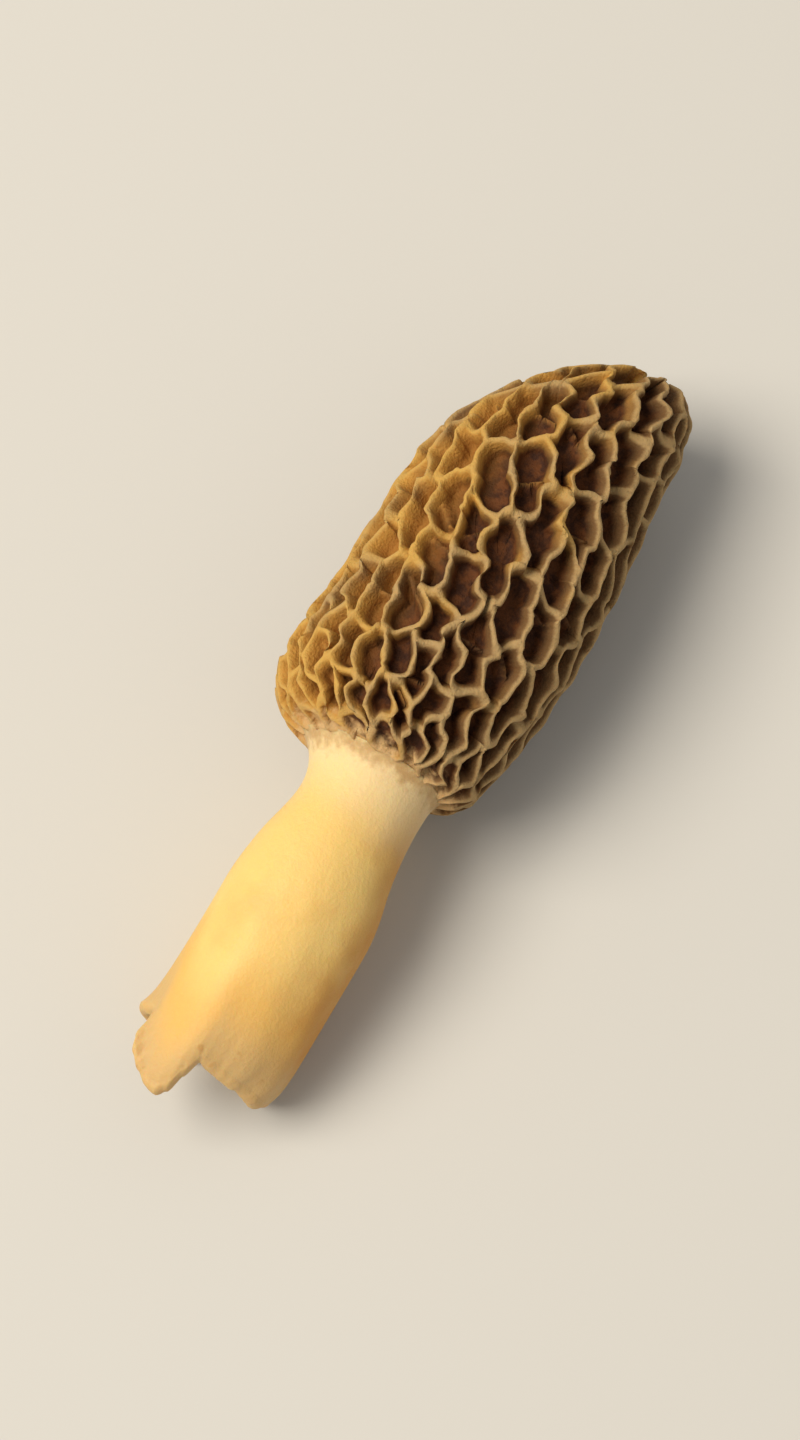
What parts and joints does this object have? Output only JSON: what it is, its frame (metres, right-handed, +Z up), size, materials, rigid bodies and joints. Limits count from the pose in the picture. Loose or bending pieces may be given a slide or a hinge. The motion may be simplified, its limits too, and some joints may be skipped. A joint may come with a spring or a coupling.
{
  "type": "morel mushroom",
  "caption": "Picked morel lying on its side: a hollow cap with a raised net of ridges round deep pits, on a hollow cream stem torn off at its base.",
  "frame": {"origin": "middle of the bottom of the bounding box, on the surface that the morel lies on", "axes": "+X along the morel from the torn base of the stem to the tip of the cap, +Y to the left of that, +Z up from the surface"},
  "size_m": [0.1214, 0.0374, 0.0364],
  "materials": {
    "cap_flesh": "matte brown ridges with darker pits",
    "stem_flesh": "smooth mealy cream"
  },
  "bodies": {
    "root": {"cap": "cap_flesh", "stem": "stem_flesh"}
  },
  "joints": []
}
